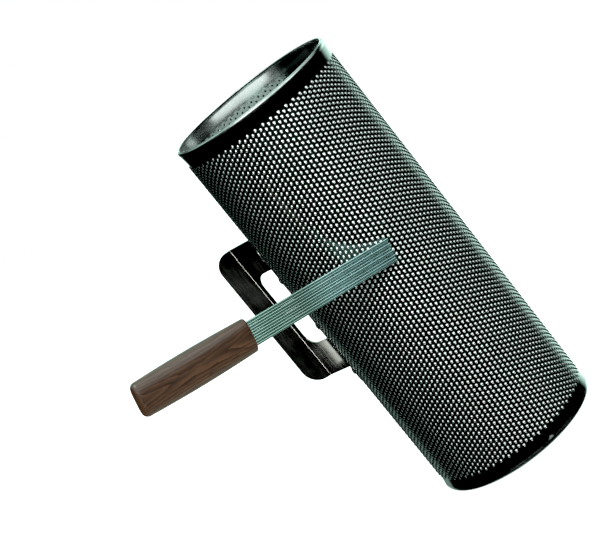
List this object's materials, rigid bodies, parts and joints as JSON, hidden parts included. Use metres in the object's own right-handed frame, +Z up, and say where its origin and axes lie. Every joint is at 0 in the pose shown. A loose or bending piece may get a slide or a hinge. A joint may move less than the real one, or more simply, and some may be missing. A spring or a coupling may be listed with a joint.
{
  "type": "guira",
  "caption": "Metal scraper instrument: an open tube of embossed sheet with beaded ends and a riveted plate handle, and a wire fork that is rubbed along it.",
  "frame": {"origin": "middle of the whole object's footprint, on the surface that the tube stands on", "axes": "+Z up along the tube's axis, +Y from the tube to its handle, -X towards the scraper's grip"},
  "size_m": [0.3556, 0.2316, 0.38],
  "materials": {
    "embossed_sheet": "polished stainless sheet",
    "rim_steel": "polished",
    "handle_steel": "polished",
    "rivet_steel": "polished",
    "tine_wire": "bright drawn wire",
    "grip_wood": "dark stained and lacquered"
  },
  "bodies": {
    "guira": {"body_shell": "embossed_sheet", "top_rim": "rim_steel", "bottom_rim": "rim_steel", "handle": "handle_steel", "rivet_1": "rivet_steel", "rivet_2": "rivet_steel", "rivet_3": "rivet_steel", "rivet_4": "rivet_steel", "rivet_5": "rivet_steel", "rivet_6": "rivet_steel"},
    "scraper": {"scraper_grip": "grip_wood", "tine_1": "tine_wire", "tine_2": "tine_wire", "tine_3": "tine_wire", "tine_4": "tine_wire", "tine_5": "tine_wire", "tine_6": "tine_wire", "tine_7": "tine_wire", "tine_8": "tine_wire", "tine_9": "tine_wire", "tine_10": "tine_wire"}
  },
  "joints": [
    {"name": "scrape_stroke", "type": "slide", "parent": "guira", "child": "scraper", "axis": [0, 0, 1], "range_m": [-0.18, 0.13]}
  ]
}
